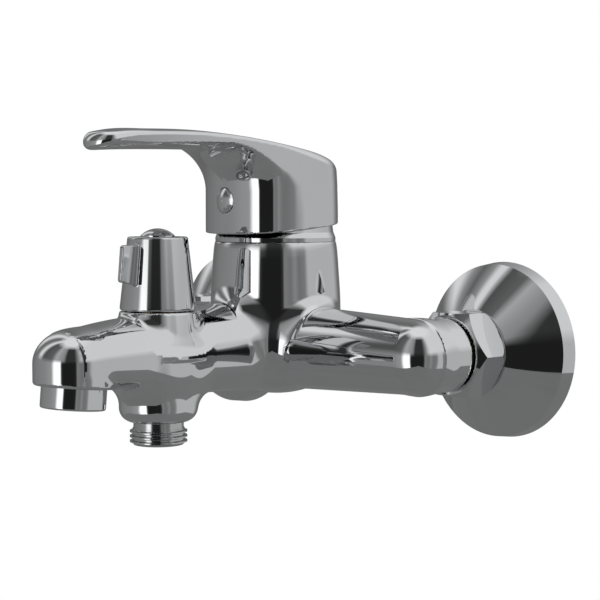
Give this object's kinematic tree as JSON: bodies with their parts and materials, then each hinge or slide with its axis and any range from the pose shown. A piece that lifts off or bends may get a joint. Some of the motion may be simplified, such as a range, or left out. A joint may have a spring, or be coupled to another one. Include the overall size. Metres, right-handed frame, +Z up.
{
  "type": "wall mounted bath faucet",
  "caption": "Exposed wall mounted bath and shower mixer: single lever, turning diverter knob, hose outlet under the spout, hexagon union nuts and round wall rosettes.",
  "frame": {"origin": "on the finished wall, midway between the axes of the two union nuts", "axes": "+Y into the wall, +X to the right seen from the room, +Z up"},
  "size_m": [0.2154, 0.1687, 0.1144],
  "materials": {
    "chrome": "polished plating",
    "nipple_chrome": "plating, slightly duller in the thread",
    "brass": "machined",
    "disc_ceramic": "lapped",
    "cartridge_plastic": "moulded",
    "guide_plastic": "moulded",
    "seal_rubber": "soft",
    "steel": "machined"
  },
  "bodies": {
    "body": {"body_casting": "chrome", "cartridge_housing": "cartridge_plastic", "cartridge_base": "cartridge_plastic", "base_seals": "seal_rubber", "fixed_disc": "disc_ceramic", "retaining_nut": "brass", "dome_cap": "chrome", "diverter_bonnet": "brass", "diverter_fixed_disc": "disc_ceramic", "diverter_disc_seal": "seal_rubber", "hose_nipple": "nipple_chrome", "nipple_seal": "seal_rubber", "aerator_housing": "chrome", "aerator_insert": "guide_plastic", "aerator_screen": "steel", "aerator_gasket": "seal_rubber", "tailpiece_left": "brass", "tailpiece_right": "brass", "union_washer_left": "seal_rubber", "union_washer_right": "seal_rubber", "eccentric_left": "brass", "eccentric_right": "brass", "escutcheon_left": "chrome", "escutcheon_right": "chrome"},
    "swivel": {"swivel_rotor": "guide_plastic", "lever_pin": "steel"},
    "lever": {"lever": "chrome", "lever_spindle": "brass", "set_screw": "steel", "index_button": "chrome"},
    "disc": {"moving_disc": "disc_ceramic", "disc_driver": "guide_plastic"},
    "diverter": {"diverter_knob": "chrome", "knob_screw": "steel", "knob_cap": "chrome", "diverter_stem": "brass", "stem_seal": "seal_rubber", "diverter_moving_disc": "disc_ceramic"},
    "nut_left": {"union_nut_left": "chrome"},
    "nut_right": {"union_nut_right": "chrome"}
  },
  "joints": [
    {"name": "lever_swivel", "type": "hinge", "parent": "body", "child": "swivel", "pos_m": [0, -0.0477, 0.036], "axis": [0, 0, 1], "range_deg": [-50, 50]},
    {"name": "lever_lift", "type": "hinge", "parent": "swivel", "child": "lever", "pos_m": [0, -0.0477, 0.036], "axis": [-1, 0, 0], "range_deg": [0, 25]},
    {"name": "disc_slide", "type": "slide", "parent": "swivel", "child": "disc", "axis": [0, -1, 0], "range_m": [0, 0.00705]},
    {"name": "diverter_turn", "type": "hinge", "parent": "body", "child": "diverter", "pos_m": [0, -0.1053, 0.016], "axis": [0, 0, 1], "range_deg": [-45, 45]},
    {"name": "nut_left_spin", "type": "hinge", "parent": "body", "child": "nut_left", "pos_m": [-0.075, -0.0255, 0], "axis": [0, 1, 0], "continuous": true},
    {"name": "nut_right_spin", "type": "hinge", "parent": "body", "child": "nut_right", "pos_m": [0.075, -0.0255, 0], "axis": [0, 1, 0], "continuous": true}
  ],
  "couplings": [
    {"joint": "disc_slide", "follows": "lever_lift", "m_per_rad": 0.015874}
  ]
}
